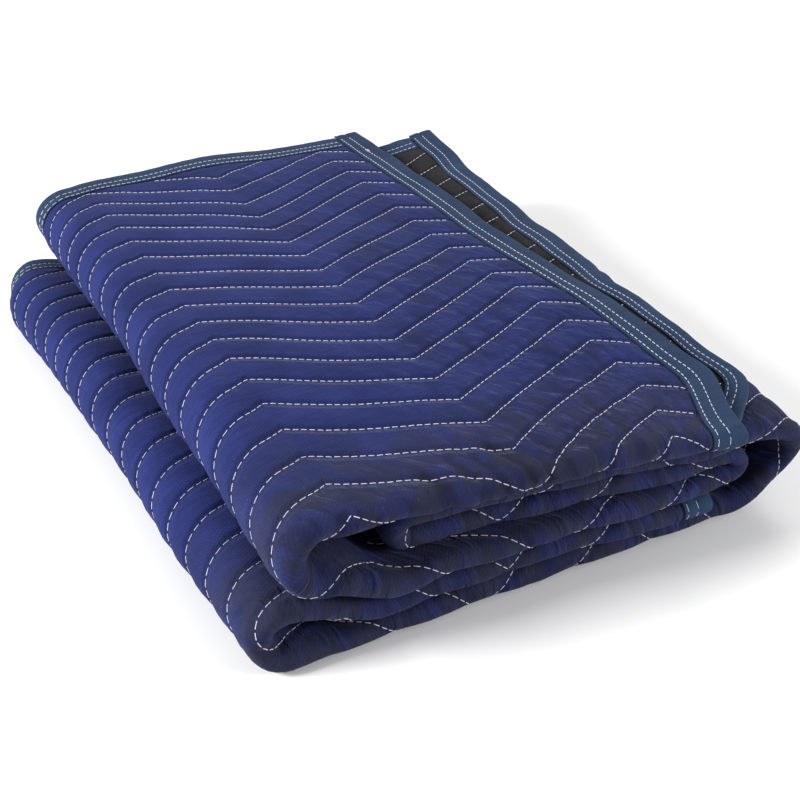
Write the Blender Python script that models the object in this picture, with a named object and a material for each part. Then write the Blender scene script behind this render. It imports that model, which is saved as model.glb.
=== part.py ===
"""Quilted moving blanket, folded in half across its width and then back and forth in six levels.

Metres, +Z up. +X points to the bound ends of the blanket, -Y to the folded front edge.
The origin is the centre of the pile on the surface that it rests on.

The cloth is drawn flat first. `down` runs along the folded path, from the end that lies on top.
`across` runs over the width, from the fold at 0 to the upper half's side edge (positive) and the
lower half's (negative). `lift` is the height over the middle of the cloth, on its blue side.
Each flat point is then placed on the folded path.
"""

import math
from functools import partial

import bmesh
import bpy
import numpy as np
from mathutils import Vector
from mathutils.geometry import delaunay_2d_cdt

# Blanket, as it is cut
LENGTH = 1.829
WIDTH = 1.016
HALF_WIDTH = WIDTH / 2

# Thicknesses
CLOTH = 0.0066
BETWEEN_HALVES = 0.0014
BETWEEN_LEVELS = 0.0012
LEVEL = 2 * CLOTH + BETWEEN_HALVES + BETWEEN_LEVELS
HALF_OFFSET = (CLOTH + BETWEEN_HALVES) / 2
FACE_OFFSET = HALF_OFFSET + CLOTH / 2
HEIGHT = 5 * LEVEL + 2 * FACE_OFFSET

# Quilting: zigzag stitch lines down the length
LINE_SPACING = 0.027
ZIGZAG_HALF = 0.102
ZIGZAG_SWING = 0.0251
ZIGZAG_START = 0.048
STITCH_DEPTH = 0.0012

# Binding tape round the edge
TAPE_WIDTH = 0.0225
TAPE = 0.001
TAPE_GAP = 0.0003
EDGE_GAP = 0.0006
TAPE_REACH = TAPE + EDGE_GAP
TAB = 0.002
BOUND_CLOTH = 0.0034
BOUND_EDGE = 0.0216
QUILT_EDGE = 0.0250

# Turns of the folded path in X, at the front and at the back of the pile
FREE_END = (0.142, 0.154)
UPPER_ROLL = (-0.120, -0.114)
INNER_RIGHT = (0.150, 0.138)
INNER_LEFT = (-0.064, -0.055)
OUTER_LOOP = (0.149, 0.182)
LOWER_ROLL = (-0.136, -0.153)
ROLL_RISE = 0.014
LOOP_FULLNESS = 1.5
LOOP_RISE = 0.010
EASE = {"c": (0.004, 0.046), "d": (0.0, 0.056)}
EASE_COLUMNS = 6
BEFORE_TURN = {"e": (0.032, 0.014)}
TURN_FULLNESS = 1.0
ROLL_FULLNESS = 1.05
SPARE = 0.15
PATH_STEPS = 60

# Front edge: its furthest point, and how far it is set back down the path
FRONT_Y = -0.2495
SETBACK = {
    "spare": 0.004, "top": 0.004, "upper roll": 0.020, "c": 0.018, "inner right": 0.025,
    "b2": 0.025, "inner left": 0.032, "b1": 0.031, "outer loop": 0.018, "e": 0.034,
    "lower roll": 0.024, "d": 0.025, "end": 0.026,
}

# Where the width is folded, past its middle: at the top end, at the upper roll and at the bottom end
FOLD_PLACES = (0.03, 0.26, LENGTH - 0.03)
FOLD_SHIFTS = (-0.012, 0.022, -0.034)

# The lower half sticks out of the top end by this much: near the fold, further back, at its corner
SLIDE_FRONT = 0.028
SLIDE_BACK = 0.029
SLIDE_CORNER = 0.004
SLIDE_START = 0.06
SLIDE_LENGTH = 0.95

# The half that lies inside a roll is pushed in at its back, over this stretch of the width
TUCK_FROM = 0.22
TUCK_OVER = 0.22

# Near its front the half inside a roll bulges into it: how far, at places before and after the roll
PUFF_GROWS = 0.020
PUFF_KEEPS = 0.030
PUFF_FADES = 0.055
UPPER_PUFFS = {-0.030: 0.0, 0.0: 0.002, 0.026: 0.006, 0.050: 0.0075, 0.064: 0.006, 0.082: 0.0}
LOWER_PUFFS = {-0.032: 0.0, -0.014: 0.0035, 0.0: 0.0050, 0.048: 0.0055, 0.063: 0.0035, 0.075: 0.0}

# Unevenness of the whole pile: shares of its height, and lengths
FRONT_RIGHT_SINKS = 0.055
BACK_LEFT_SINKS = 0.045
BACK_RIGHT_RISES = 0.15
SWELL = 0.014
SWELL_TURNS = (9.0, 8.0)
WAVE = 0.0018
WAVE_TURNS = 13.0
ROLLS_DRAW_IN = 0.014
LOWER_ROLL_DRAWS_IN = 0.018
LOWER_ROLL_CURLS = 0.013
LOWER_ROLL_SINKS = 0.10
TOP_CORNER_PULLED = 0.013
TOP_END_SWELLS = 0.012
OUTER_SHARE = 0.95

# Where each of them grows from nothing to its full size, from one place on an axis to another
REGIONS = {
    "front right": {"x": (0.0, 0.15), "y": (-0.06, -0.22)},
    "back left": {"x": (0.0, -0.13), "y": (0.11, 0.26)},
    "back right": {"x": (0.11, 0.25), "y": (0.02, 0.26)},
    "rolls": {"x": (-0.08, -0.15), "y": (0.05, 0.25)},
    "lower roll": {"x": (-0.09, -0.17), "y": (0.05, 0.25), "z": (0.06, 0.01)},
    "lower roll's end": {"x": (-0.095, -0.18), "y": (0.21, 0.27), "z": (0.08, 0.05)},
    "off the floor": {"z": (0.0, 0.03)},
    "top end": {"x": (0.02, 0.11), "z": (0.045, 0.065)},
    "past the top end": {"x": (0.15, 0.195)},
    "top corner": {"y": (-0.175, -0.245)},
    "behind the front": {"y": (-0.25, -0.17)},
    "middle of the depth": {"y": (-0.15, 0.05)},
}

# Centre of the folded cloth, which moves onto the origin
CENTRE_X = 0.0297
CENTRE_Y = 0.0231

# Mesh rows and columns
FLAT_COLUMNS = 4
COLUMN_COUNTS = {"upper roll": 8, "outer loop": 8, "lower roll": 8, "inner right": 6, "inner left": 6}
PLAIN_ROWS = (0.019, 0.0425, 0.085, 0.14, 0.20, 0.26, 0.32, 0.38, 0.44)
NOSE_ROWS = (-1.0, -0.5, 0.0, 0.5, 1.0)
SWING_ROWS = (-0.011, -0.016, -0.022, -0.038, -0.047, -0.057, -0.075)
CORNER_ROWS = (0.29, 0.35, 0.41)
NOSE = math.pi / 2 * HALF_OFFSET
CLEAR_OF_NOSE = 0.005
CLEAR_OF_EDGE = 0.004
OFF_FOLD = 0.05

CLOTH_COLOUR = (0.030, 0.036, 0.165, 1.0)
TAPE_COLOUR = (0.026, 0.050, 0.105, 1.0)


def smooth(value):
    value = np.clip(value, 0.0, 1.0)
    return value * value * (3 - 2 * value)


def level_height(number):
    """Middle of a level, counted from 1 at the top."""
    return HEIGHT - FACE_OFFSET - (number - 1) * LEVEL


def run(x_from, x_to, z_from, z_to=None, ease=(0.0, 1.0)):
    """A level's middle line, which may ease to another height between two x."""
    share = np.linspace(0, 1, PATH_STEPS, endpoint=False)
    x = x_from + (x_to - x_from) * share
    rise = 0.0 if z_to is None else z_to - z_from
    z = z_from + rise * smooth((x - ease[0]) / (ease[1] - ease[0]))
    return np.stack([x, z], axis=1)


def turn(x, z_from, z_to, fullness, side, rise=0.0):
    """Half an ellipse from one level to another, on the +X or -X side; its tip may sit higher."""
    angle = np.linspace(0, math.pi, PATH_STEPS, endpoint=False)
    radius = (z_from - z_to) / 2
    bulge = side * fullness * abs(radius)
    z = (z_from + z_to) / 2 + radius * np.cos(angle) + rise * np.sin(angle) ** 2
    return np.stack([x + bulge * np.sin(angle), z], axis=1)


def folded_path(end):
    """The middle line of the pile, seen from the front, at its front (0) or back (1)."""
    top, b1, b2, c, d, e = [level_height(number) for number in range(1, 7)]
    c_left = c + ROLL_RISE
    d_left = d + ROLL_RISE
    free, upper, lower = FREE_END[end], UPPER_ROLL[end], LOWER_ROLL[end]
    inner_left, inner_right, loop = INNER_LEFT[end], INNER_RIGHT[end], OUTER_LOOP[end]
    return np.concatenate([
        run(free + SPARE, free, top),
        run(free, upper, top),
        turn(upper, top, c_left, ROLL_FULLNESS, -1),
        run(upper, inner_right, c_left, c, (upper + EASE["c"][0], upper + EASE["c"][1])),
        turn(inner_right, c, b2, TURN_FULLNESS, 1),
        run(inner_right, inner_left, b2),
        turn(inner_left, b2, b1, TURN_FULLNESS, -1),
        run(inner_left, loop, b1),
        turn(loop, b1, e, LOOP_FULLNESS, 1, LOOP_RISE),
        run(loop, lower, e),
        turn(lower, e, d_left, ROLL_FULLNESS, -1),
        run(lower, free + SPARE, d_left, d, (lower + EASE["d"][0], lower + EASE["d"][1])),
    ])


def normals_of(points):
    """The way across the path, to its right hand side."""
    slope = np.gradient(points, axis=0)
    slope /= np.linalg.norm(slope, axis=1)[:, None]
    return np.stack([slope[:, 1], -slope[:, 0]], axis=1)


PATHS = [folded_path(0), folded_path(1)]
NORMALS = [normals_of(points) for points in PATHS]
STEPS = np.linalg.norm(np.diff((PATHS[0] + PATHS[1]) / 2, axis=0), axis=1)
DOWN = np.concatenate([[0], np.cumsum(STEPS)]) - STEPS[:PATH_STEPS].sum()
MARKS = {name: DOWN[index * PATH_STEPS] for index, name in enumerate(list(SETBACK)[:-1])}
MARKS["end"] = LENGTH


def on_path(columns, down):
    return np.stack([np.interp(down, DOWN, column) for column in columns.T], axis=-1)


def fold_line(down):
    """Where the width is folded, which wanders from one end of the blanket to the other."""
    return np.interp(down, FOLD_PLACES, FOLD_SHIFTS)


def slide(down, across):
    """How far the lower half has slid towards the top end."""
    from_fold = fold_line(down) - across
    back = from_fold / HALF_WIDTH
    reach = SLIDE_FRONT + SLIDE_BACK * back + SLIDE_CORNER * back ** 6
    return reach * smooth(from_fold / SLIDE_START) * (1 - smooth(down / SLIDE_LENGTH))


def cloth_down(down, across):
    """Distance from the top end, measured on the cloth itself."""
    return down + slide(down, across)


def tucked(down, from_fold):
    """How far the back of the longer half is pushed in, where it lies inside a roll."""
    longer = np.maximum(-np.sign(from_fold) * fold_line(down), 0)
    inside = np.where(from_fold > 0, smooth((down - 0.8) / 0.3), smooth((down - 0.1) / 0.12))
    return 2 * longer * inside * smooth((np.abs(from_fold) - TUCK_FROM) / TUCK_OVER)


def puffed(down, from_fold):
    """How far the inner half of a roll bulges into it near the fold, which closes the roll's front."""
    upper = np.interp(down - MARKS["upper roll"], list(UPPER_PUFFS), list(UPPER_PUFFS.values()))
    lower = np.interp(down - MARKS["lower roll"], list(LOWER_PUFFS), list(LOWER_PUFFS.values()))
    size = np.abs(from_fold)
    stretch = smooth(size / PUFF_GROWS) * (1 - smooth((size - PUFF_KEEPS) / PUFF_FADES))
    return np.where(from_fold < 0, -upper, lower) * stretch


def path_down(cloth, across):
    """The place on the path of a distance measured on the cloth."""
    sample = np.linspace(-SPARE, LENGTH + SPARE, 500)
    return np.interp(cloth, cloth_down(sample, across), sample)


def zigzag(down):
    """Sideways place of a stitch line."""
    turns = (np.asarray(down, float) - ZIGZAG_START) / ZIGZAG_HALF
    return ZIGZAG_SWING * (2 * np.abs((turns % 2) - 1) - 1)


def grown(region, x, y, z):
    """0 outside a region of the pile, easing to 1 inside it."""
    share = 1.0
    for axis, (start, end) in REGIONS[region].items():
        share = share * smooth(({"x": x, "y": y, "z": z}[axis] - start) / (end - start))
    return share


def settle(x, y, z):
    """Unevenness of the pile: corners sink or rise, the rolls draw in, the top end bends at the front."""
    shares = {region: grown(region, x, y, z) for region in REGIONS}
    swell = SWELL * np.sin(SWELL_TURNS[0] * x + 0.8) * np.sin(SWELL_TURNS[1] * y + 0.5)
    sinks = FRONT_RIGHT_SINKS * shares["front right"] + BACK_LEFT_SINKS * shares["back left"] + swell
    rises = BACK_RIGHT_RISES * shares["back right"]
    drawn_in = LOWER_ROLL_DRAWS_IN * shares["lower roll"] + ROLLS_DRAW_IN * shares["rolls"]
    wave = WAVE * np.sin(WAVE_TURNS * y + 1.0) * shares["off the floor"]
    curls = LOWER_ROLL_CURLS * shares["lower roll's end"]
    swells = TOP_END_SWELLS * shares["behind the front"] * (1 - shares["middle of the depth"])
    top_end = shares["top end"] * (1 - OUTER_SHARE * shares["past the top end"])
    bends = (swells - TOP_CORNER_PULLED * shares["top corner"]) * top_end
    sinks = sinks + LOWER_ROLL_SINKS * shares["lower roll's end"]
    return x + wave + curls + bends, y - drawn_in, z * (1 - sinks + rises)


def place(down, across, lift):
    """Folded places of flat points."""
    values = np.broadcast_arrays(*[np.asarray(value, float) for value in (down, across, lift)])
    down, across, lift = [value.ravel() for value in values]
    from_fold = across - fold_line(down)
    angle = np.clip(from_fold / HALF_OFFSET, -math.pi / 2, math.pi / 2)
    offset = (HALF_OFFSET + lift) * np.sin(angle) + puffed(down, from_fold)
    setback = np.interp(down, list(MARKS.values()), list(SETBACK.values()))
    depth = np.maximum(np.abs(from_fold) - NOSE, 0) - (HALF_OFFSET + lift) * np.cos(angle)
    y = FRONT_Y + FACE_OFFSET + setback + depth - tucked(down, from_fold)
    back = np.clip((y - FRONT_Y) / HALF_WIDTH, 0, 1)[:, None]
    line = on_path(PATHS[0], down) * (1 - back) + on_path(PATHS[1], down) * back
    normal = on_path(NORMALS[0], down) * (1 - back) + on_path(NORMALS[1], down) * back
    normal /= np.linalg.norm(normal, axis=1)[:, None]
    x, z = (line + normal * offset[:, None]).T
    x, y, z = settle(x, y, z)
    return np.stack([x - CENTRE_X, y - CENTRE_Y, z], axis=1)


def edge_distance(down, across):
    """Distance to the nearest edge of the flat cloth."""
    ends = np.minimum(cloth_down(down, across), LENGTH - down)
    return np.minimum(ends, HALF_WIDTH - np.abs(across))


def quilted(down, across):
    """True where the blue side shows and its quilting is raised."""
    upper = (across > fold_line(down)) & (down < MARKS["c"] + 0.001)
    loop = (down > MARKS["outer loop"] - 0.03) & (down < MARKS["e"] + 0.001)
    roll = (down > MARKS["lower roll"] - 0.001) & (down < MARKS["d"] + 0.03)
    lower = (across < fold_line(down)) & (loop | roll)
    return (upper | lower) & (edge_distance(down, across) > QUILT_EDGE - 1e-6)


def blue_lift(down, across):
    """Height of the blue side, with the stitch lines pressed in."""
    line = (across - zigzag(down)) / LINE_SPACING
    pressed = STITCH_DEPTH * np.abs(2 * np.abs(line % 1 - 0.5)) ** 2
    thick = half_thickness(down, across)
    return thick - np.where(quilted(down, across), pressed, 0)


def half_thickness(down, across):
    """Half the cloth's thickness, which is pressed thin under the binding."""
    grown = smooth((edge_distance(down, across) - BOUND_EDGE) / (QUILT_EDGE - BOUND_EDGE))
    return BOUND_CLOTH / 2 + (CLOTH - BOUND_CLOTH) / 2 * grown


TOP_COLUMNS = np.arange(ZIGZAG_START, MARKS["upper roll"], ZIGZAG_HALF / 2)


def path_columns():
    """Places down the path that get a column of points: few on a level, more on a turn."""
    names = list(MARKS)
    columns = []
    for name, after in zip(names[2:-1], names[3:]):
        start, end = MARKS[name], MARKS[after]
        if name in EASE:
            columns += list(start + np.linspace(*EASE[name], EASE_COLUMNS))
            start = columns[-1] + EASE[name][1] / EASE_COLUMNS
        count = COLUMN_COUNTS.get(name, FLAT_COLUMNS)
        columns += list(np.linspace(start, end, count, endpoint=False))
        columns += [end - before for before in BEFORE_TURN.get(name, ())]
    return [down for down in columns if down < LENGTH - QUILT_EDGE - CLEAR_OF_EDGE]


def rows_at(down, fine):
    """Named rows of one column, as {name: place over the width}."""
    fold = float(fold_line(down))
    rows = {}
    for side in (-1, 1):
        for number, row in enumerate(PLAIN_ROWS):
            if not (fine and quilted(down, fold + side * OFF_FOLD)):
                rows["plain", side, number] = fold + side * row
        for inset in (0, BOUND_EDGE, QUILT_EDGE):
            rows["edge", side, inset] = side * (HALF_WIDTH - inset)
    for share in NOSE_ROWS:
        rows["nose", share] = fold + NOSE * share
    reach = int(HALF_WIDTH / LINE_SPACING) + 2
    for number in range(-2 * reach, 2 * reach) if fine else ():
        row = number / 2 * LINE_SPACING + float(zigzag(down))
        side = 1 if row > fold else -1
        off_nose = abs(row - fold) > NOSE + CLEAR_OF_NOSE
        off_edge = abs(row) < HALF_WIDTH - QUILT_EDGE - CLEAR_OF_EDGE
        if off_nose and off_edge and quilted(down, fold + side * OFF_FOLD):
            rows["line", side, number] = row
    return rows


def top_end_rows():
    """Rows of the top end, closer where it swings out by the fold and towards its corners."""
    rows = rows_at(0, False)
    fold = float(fold_line(0))
    for row in SWING_ROWS:
        rows["swing", row] = fold + row
    for row in CORNER_ROWS:
        rows["corner", 1, row] = fold + row
        rows["corner", -1, row] = fold - row
    return rows


def in_order(rows, down_of):
    """One column as a list of (row name, (down, across)), from one side edge to the other."""
    return [(name, (float(down_of(row)), row)) for name, row in
            sorted(rows.items(), key=lambda item: item[1])]


def flat_columns(fine):
    """Columns of flat points over the whole cloth, each running over its width."""
    insets = (0, BOUND_EDGE, QUILT_EDGE)
    columns = [in_order(top_end_rows(), partial(path_down, inset)) for inset in insets]
    for cloth in TOP_COLUMNS:
        columns.append(in_order(rows_at(cloth, fine), partial(path_down, cloth)))
    for down in path_columns():
        columns.append(in_order(rows_at(down, fine), lambda row, down=down: down))
    for inset in reversed(insets):
        down = LENGTH - inset
        columns.append(in_order(rows_at(down, False), lambda row, down=down: down))
    return columns


def flat_triangles(fine):
    """Flat points, triangles over them and the points round the edge, in order."""
    columns = flat_columns(fine)
    points, indices = [], []
    for column in columns:
        indices.append({name: len(points) + k for k, (name, point) in enumerate(column)})
        points += [point for name, point in column]
    edges = []
    for index in indices:
        along = list(index.values())
        edges += list(zip(along, along[1:]))
    for here, there in zip(indices, indices[1:]):
        edges += [(here[name], there[name]) for name in here if name in there]
    lower = [min(index.values()) for index in indices]
    upper = [max(index.values()) for index in indices]
    rim = lower + list(range(lower[-1] + 1, upper[-1] + 1))
    rim += upper[-2::-1] + list(range(upper[0] - 1, lower[0], -1))
    result = delaunay_2d_cdt([Vector(point) for point in points], edges, [], 1, 1e-7)
    flat = np.array([tuple(point) for point in result[0]])
    return flat, [tuple(face) for face in result[2]], rim


def material(name, colour, roughness):
    made = bpy.data.materials.new(name)
    made.use_nodes = True
    shader = made.node_tree.nodes["Principled BSDF"]
    shader.inputs["Base Color"].default_value = colour
    shader.inputs["Roughness"].default_value = roughness
    shader.inputs["Metallic"].default_value = 0.0
    made.diffuse_color = colour
    return made


def make_object(name, points, faces, skin):
    """A mesh object with its faces pointing out."""
    shell = bmesh.new()
    corners = [shell.verts.new(point) for point in points]
    for face in faces:
        shell.faces.new([corners[index] for index in face])
    bmesh.ops.recalc_face_normals(shell, faces=shell.faces)
    mesh = bpy.data.meshes.new(name)
    shell.to_mesh(mesh)
    shell.free()
    mesh.shade_smooth()
    mesh.set_sharp_from_angle(angle=math.radians(50))
    made = bpy.data.objects.new(name, mesh)
    made.data.materials.append(skin)
    bpy.context.scene.collection.objects.link(made)
    return made


def blanket(skin):
    """The cloth: its blue side, its dark side, and the rim between them."""
    blue, blue_faces, rim = flat_triangles(True)
    dark, dark_faces, dark_rim = flat_triangles(False)
    upper = place(blue[:, 0], blue[:, 1], blue_lift(blue[:, 0], blue[:, 1]))
    lower = place(dark[:, 0], dark[:, 1], -half_thickness(dark[:, 0], dark[:, 1]))
    start = len(upper)
    faces = list(blue_faces)
    faces += [tuple(start + index for index in reversed(face)) for face in dark_faces]
    for k in range(len(rim)):
        after = (k + 1) % len(rim)
        faces.append((rim[after], rim[k], start + dark_rim[k], start + dark_rim[after]))
    return make_object("quilted_blanket", np.concatenate([upper, lower]), faces, skin)


def tape_section():
    """Distance past the cloth's edge and lift, round a tape folded over that edge."""
    inner = -(TAPE_WIDTH - TAPE_REACH)
    inside = BOUND_CLOTH / 2 + TAPE_GAP
    outside = inside + TAPE
    return [
        (inner, outside), (TAPE_REACH, outside), (TAPE_REACH, -outside), (inner, -outside),
        (inner, -inside), (EDGE_GAP, -inside), (EDGE_GAP, inside), (inner, inside),
    ]


def sweep_tape(name, stations, skin):
    """A tape made of rings of points; stations holds the ring at each place along the edge."""
    rings = [place(*np.array(station).T) for station in stations]
    size = len(rings[0])
    faces = []
    for k in range(len(rings) - 1):
        for j in range(size):
            after = (j + 1) % size
            faces.append((k * size + j, k * size + after,
                          (k + 1) * size + after, (k + 1) * size + j))
    last = (len(rings) - 1) * size
    cap = [(0, 1, 6, 7), (1, 2, 5, 6), (2, 3, 4, 5)]
    faces += [tuple(reversed(corners)) for corners in cap]
    faces += [tuple(last + corner for corner in corners) for corners in cap]
    return make_object(name, np.concatenate(rings), faces, skin)


def side_tape(name, side, skin):
    """Binding along one side edge, between the two end tapes."""
    stations = []
    for cloth in [TAPE_WIDTH, *TOP_COLUMNS]:
        ring = [(side * (HALF_WIDTH + past), lift) for past, lift in tape_section()]
        stations.append([(float(path_down(cloth, row)), row, lift) for row, lift in ring])
    for down in path_columns() + [LENGTH - TAPE_WIDTH]:
        stations.append([(down, side * (HALF_WIDTH + past), lift) for past, lift in tape_section()])
    return sweep_tape(name, stations, skin)


def end_tape(name, top, skin):
    """Binding across one end, over the side tapes' ends."""
    rows = sorted((top_end_rows() if top else rows_at(LENGTH, False)).values())
    reach = HALF_WIDTH + TAPE_REACH + TAB
    rows = [-reach] + rows[1:-1] + [reach]
    stations = []
    for row in rows:
        ring = []
        for past, lift in tape_section():
            down = float(path_down(-past, row)) if top else LENGTH + past
            ring.append((down, row, lift))
        stations.append(ring)
    return sweep_tape(name, stations, skin)


def main():
    for old in list(bpy.data.objects):
        bpy.data.objects.remove(old, do_unlink=True)
    cloth_skin = material("quilted_cotton", CLOTH_COLOUR, 0.85)
    tape_skin = material("binding_tape", TAPE_COLOUR, 0.8)
    blanket(cloth_skin)
    side_tape("binding_side_upper", 1, tape_skin)
    side_tape("binding_side_lower", -1, tape_skin)
    end_tape("binding_end_top", True, tape_skin)
    end_tape("binding_end_bottom", False, tape_skin)


main()
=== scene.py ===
"""Looks of the folded quilted moving blanket: its cloth, binding, thread, light and camera.

Metres, +Z up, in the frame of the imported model. The cloth is drawn flat first, as it is in the solid.
`down` runs along the folded path from the end on top, `across` over the width from the fold at 0,
`cloth` is a distance from the top end measured on the cloth, and `lift` is a height over its middle.
"""

import math

import bmesh
import bpy
import numpy as np
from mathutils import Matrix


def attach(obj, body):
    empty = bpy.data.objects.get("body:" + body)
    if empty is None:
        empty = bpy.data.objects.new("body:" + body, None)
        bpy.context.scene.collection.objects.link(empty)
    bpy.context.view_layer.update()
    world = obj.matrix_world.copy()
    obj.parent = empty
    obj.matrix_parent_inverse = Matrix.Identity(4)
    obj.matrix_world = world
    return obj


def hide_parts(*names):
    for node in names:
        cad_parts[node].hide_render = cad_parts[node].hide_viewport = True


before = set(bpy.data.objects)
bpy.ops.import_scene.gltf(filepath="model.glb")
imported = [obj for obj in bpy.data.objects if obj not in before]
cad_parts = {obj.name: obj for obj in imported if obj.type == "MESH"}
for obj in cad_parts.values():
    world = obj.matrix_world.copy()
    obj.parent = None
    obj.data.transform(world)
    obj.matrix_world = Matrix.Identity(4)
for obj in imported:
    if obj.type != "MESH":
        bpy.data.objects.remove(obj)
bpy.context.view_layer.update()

# Blanket, as it is cut
LENGTH = 1.829
WIDTH = 1.016
HALF_WIDTH = WIDTH / 2

# Thicknesses
CLOTH = 0.0066
BETWEEN_HALVES = 0.0014
BETWEEN_LEVELS = 0.0012
LEVEL = 2 * CLOTH + BETWEEN_HALVES + BETWEEN_LEVELS
HALF_OFFSET = (CLOTH + BETWEEN_HALVES) / 2
FACE_OFFSET = HALF_OFFSET + CLOTH / 2
HEIGHT = 5 * LEVEL + 2 * FACE_OFFSET

# Quilting: zigzag stitch lines down the length
LINE_SPACING = 0.027
ZIGZAG_HALF = 0.102
ZIGZAG_SWING = 0.0251
ZIGZAG_START = 0.048
LINE_SLANT = math.hypot(1, 2 * ZIGZAG_SWING / ZIGZAG_HALF)
GROOVE = 0.0014
GROOVE_REACH = 0.0105
FILLING = 0.00022
PROUD = 0.0003

# Binding tape
TAPE_WIDTH = 0.0225
TAPE = 0.001
TAPE_GAP = 0.0003
EDGE_GAP = 0.0006
TAPE_REACH = TAPE + EDGE_GAP
TAPE_INNER = TAPE_REACH - TAPE_WIDTH
TAB = 0.002
BOUND_CLOTH = 0.0034
BOUND_EDGE = 0.0216
QUILT_EDGE = 0.0250
BOUND_EDGE_FADES = 0.004

# Turns of the folded path in X, at the front and at the back of the pile
FREE_END = (0.142, 0.154)
UPPER_ROLL = (-0.120, -0.114)
INNER_RIGHT = (0.150, 0.138)
INNER_LEFT = (-0.064, -0.055)
OUTER_LOOP = (0.149, 0.182)
LOWER_ROLL = (-0.136, -0.153)
ROLL_RISE = 0.014
LOOP_FULLNESS = 1.5
LOOP_RISE = 0.010
EASE = {"c": (0.004, 0.046), "d": (0.0, 0.056)}
TURN_FULLNESS = 1.0
ROLL_FULLNESS = 1.05
SPARE = 0.15
PATH_STEPS = 60

# Front edge: its furthest point, and how far it is set back down the path
FRONT_Y = -0.2495
SETBACK = {
    "spare": 0.004, "top": 0.004, "upper roll": 0.020, "c": 0.018, "inner right": 0.025,
    "b2": 0.025, "inner left": 0.032, "b1": 0.031, "outer loop": 0.018, "e": 0.034,
    "lower roll": 0.024, "d": 0.025, "end": 0.026,
}

# Where the width is folded, and how far the lower half sticks out of the top end
FOLD_PLACES = (0.03, 0.26, LENGTH - 0.03)
FOLD_SHIFTS = (-0.012, 0.022, -0.034)
SLIDE_FRONT = 0.028
SLIDE_BACK = 0.029
SLIDE_CORNER = 0.004
SLIDE_START = 0.06
SLIDE_LENGTH = 0.95
TUCK_FROM = 0.22
TUCK_OVER = 0.22
TUCK_IN_LOWER = (0.8, 0.3)
TUCK_IN_UPPER = (0.1, 0.12)

# Near its front the half inside a roll bulges into it: how far, at places before and after the roll
PUFF_GROWS = 0.020
PUFF_KEEPS = 0.030
PUFF_FADES = 0.055
UPPER_PUFFS = {-0.030: 0.0, 0.0: 0.002, 0.026: 0.006, 0.050: 0.0075, 0.064: 0.006, 0.082: 0.0}
LOWER_PUFFS = {-0.032: 0.0, -0.014: 0.0035, 0.0: 0.0050, 0.048: 0.0055, 0.063: 0.0035, 0.075: 0.0}

# Unevenness of the whole pile
FRONT_RIGHT_SINKS = 0.055
BACK_LEFT_SINKS = 0.045
BACK_RIGHT_RISES = 0.15
SWELL = 0.014
SWELL_TURNS = (9.0, 8.0)
WAVE = 0.0018
WAVE_TURNS = 13.0
ROLLS_DRAW_IN = 0.014
LOWER_ROLL_DRAWS_IN = 0.018
LOWER_ROLL_CURLS = 0.013
LOWER_ROLL_SINKS = 0.10
TOP_CORNER_PULLED = 0.013
TOP_END_SWELLS = 0.012
OUTER_SHARE = 0.95

# Where each of them grows from nothing to its full size, from one place on an axis to another
REGIONS = {
    "front right": {"x": (0.0, 0.15), "y": (-0.06, -0.22)},
    "back left": {"x": (0.0, -0.13), "y": (0.11, 0.26)},
    "back right": {"x": (0.11, 0.25), "y": (0.02, 0.26)},
    "rolls": {"x": (-0.08, -0.15), "y": (0.05, 0.25)},
    "lower roll": {"x": (-0.09, -0.17), "y": (0.05, 0.25), "z": (0.06, 0.01)},
    "lower roll's end": {"x": (-0.095, -0.18), "y": (0.21, 0.27), "z": (0.08, 0.05)},
    "off the floor": {"z": (0.0, 0.03)},
    "top end": {"x": (0.02, 0.11), "z": (0.045, 0.065)},
    "past the top end": {"x": (0.15, 0.195)},
    "top corner": {"y": (-0.175, -0.245)},
    "behind the front": {"y": (-0.25, -0.17)},
    "middle of the depth": {"y": (-0.15, 0.05)},
}
CENTRE_X = 0.0297
CENTRE_Y = 0.0231

# Small rumples over the settled form
FRONT_RUMPLE = 0.0016
SIDE_RUMPLE = 0.0009
LEVEL_RUMPLE = 0.0013
RUMPLED_DEPTH = 0.07
END_RUMPLE = 0.0012
END_FROM = 0.12
END_OVER = 0.05

# Mesh rows over the width
NOSE_REACH = 0.0105
NOSE_STEP = 0.0015
TURNING_STEP = 0.0036
LINE_ROWS = (-0.0115, -0.0065, -0.0025, 0.0, 0.0025, 0.0065)
EDGE_ROWS = (0.4745, 0.4790, 0.4830, 0.4842, 0.4864, 0.5080)
FOLLOWS_FOLD = 0.03
FOLLOWS_LINES = 0.15
LEAVES_LINES = 0.40
DARK_EVERY = 8

# Mesh columns down the length
TOP_END_COLUMNS = (0.0, 0.0216, 0.0236, 0.0250, 0.0309, 0.0366, 0.0423)
TOP_STEP = ZIGZAG_HALF / 30
BOTTOM_END_INSETS = (0.0250, 0.0236, 0.0216, 0.0)
COLUMN_STEPS = {
    "upper roll": 0.0033, "c": 0.008, "inner right": 0.003, "b2": 0.008, "inner left": 0.003,
    "b1": 0.008, "outer loop": 0.004, "e": 0.008, "lower roll": 0.0033, "d": 0.008,
}

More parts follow.
